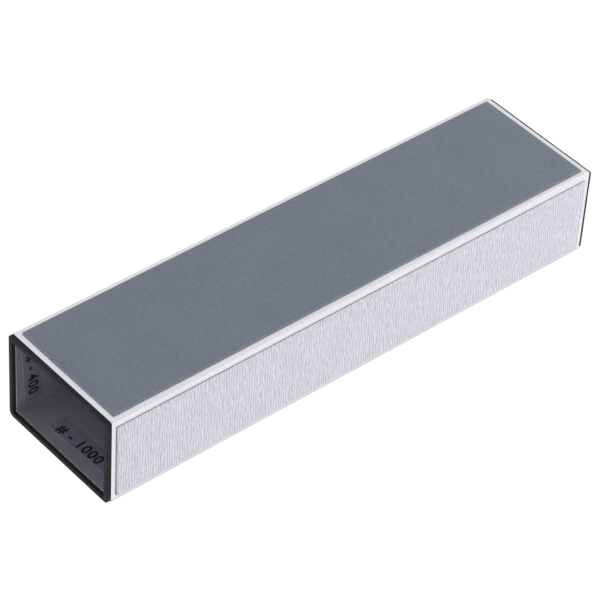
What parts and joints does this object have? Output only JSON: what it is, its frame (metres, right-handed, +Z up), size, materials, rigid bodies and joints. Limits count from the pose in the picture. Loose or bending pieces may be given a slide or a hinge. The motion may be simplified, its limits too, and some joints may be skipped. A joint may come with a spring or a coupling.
{
  "type": "sharpening whetstone",
  "caption": "Rectangular hollow sharpening block with abrasive sheets on its long faces, soft rings on its open ends and grit labels inside the bore.",
  "frame": {"origin": "middle of the bottom abrasive sheet's face, which is the middle of the bounding box's bottom", "axes": "X across the block's width, +Y along its length towards the end without labels, +Z up through its height"},
  "size_m": [0.061, 0.2414, 0.0411],
  "materials": {
    "tube_aluminium": "satin",
    "slate_abrasive": "matte",
    "pale_abrasive": "matte",
    "dark_abrasive": "matte",
    "white_abrasive": "matte",
    "tape_adhesive": "matte",
    "ring_rubber": "matte",
    "label_strip": "satin"
  },
  "bodies": {
    "root": {"tube_body": "tube_aluminium", "abrasive_sheet_top": "slate_abrasive", "abrasive_sheet_right": "pale_abrasive", "abrasive_sheet_bottom": "dark_abrasive", "abrasive_sheet_left": "white_abrasive", "sheet_tape_top": "tape_adhesive", "sheet_tape_right": "tape_adhesive", "sheet_tape_bottom": "tape_adhesive", "sheet_tape_left": "tape_adhesive", "end_ring_near": "ring_rubber", "end_ring_far": "ring_rubber", "ring_tape_near": "tape_adhesive", "ring_tape_far": "tape_adhesive", "grit_label_top": "label_strip", "grit_label_right": "label_strip", "grit_label_bottom": "label_strip", "grit_label_left": "label_strip"}
  },
  "joints": []
}
